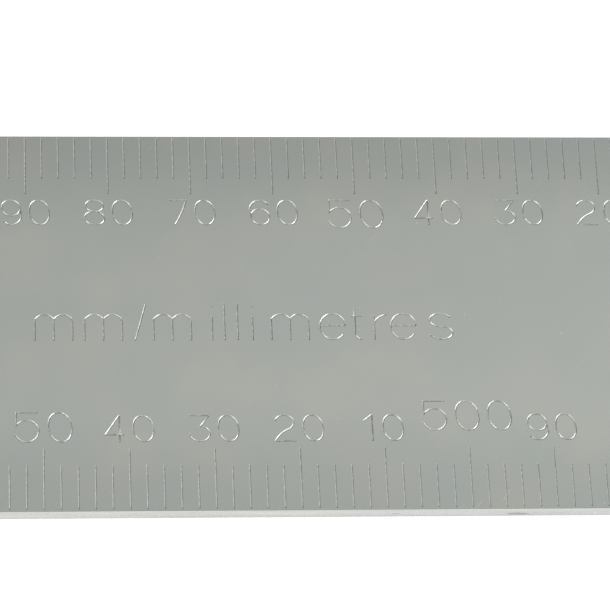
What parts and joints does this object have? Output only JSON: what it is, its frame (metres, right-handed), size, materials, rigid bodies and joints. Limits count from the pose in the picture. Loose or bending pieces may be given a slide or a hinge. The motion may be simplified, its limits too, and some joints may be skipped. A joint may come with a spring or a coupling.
{
  "type": "steel square ruler",
  "caption": "Flat L-shaped steel square with engraved metric and inch scales, half-lapped at the heel under flush rivets and drilled for hanging.",
  "frame": {"origin": "outer corner of the heel, on the underside", "axes": "-X along the long leg, -Y along the short leg, +Z out of the metric face"},
  "size_m": [0.6096, 0.4064, 0.0019],
  "materials": {
    "leg_steel": "satin, engraved",
    "rivet_steel": "ground flush"
  },
  "bodies": {
    "root": {"long_leg": "leg_steel", "short_leg": "leg_steel", "heel_rivet_1": "rivet_steel", "heel_rivet_2": "rivet_steel", "heel_rivet_3": "rivet_steel", "heel_rivet_4": "rivet_steel", "heel_rivet_5": "rivet_steel"}
  },
  "joints": []
}
